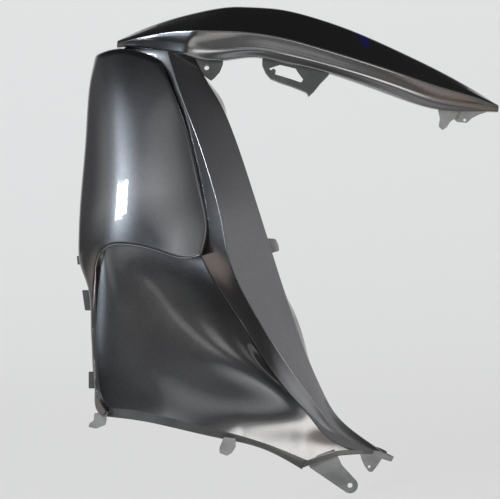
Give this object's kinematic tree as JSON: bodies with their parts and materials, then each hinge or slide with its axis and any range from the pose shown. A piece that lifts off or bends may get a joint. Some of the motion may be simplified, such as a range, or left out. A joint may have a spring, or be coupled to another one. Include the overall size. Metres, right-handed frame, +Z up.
{
  "type": "scooter side panel",
  "caption": "Thin-walled painted left side panel of a scooter: a raised cheek over a concave scoop, a ridged spine, and an arm that sweeps back over the opening.",
  "frame": {"origin": "centre of the screw hole in the lower tab, on the tab's outer face", "axes": "+X runs to the rear of the scooter, +Z up, and the painted outer side looks along -Y"},
  "size_m": [0.581, 0.1075, 0.6661],
  "materials": {
    "panel": "metallic dark grey paint under clear lacquer, bare grey plastic inside"
  },
  "bodies": {
    "root": {"panel": "panel"}
  },
  "joints": []
}
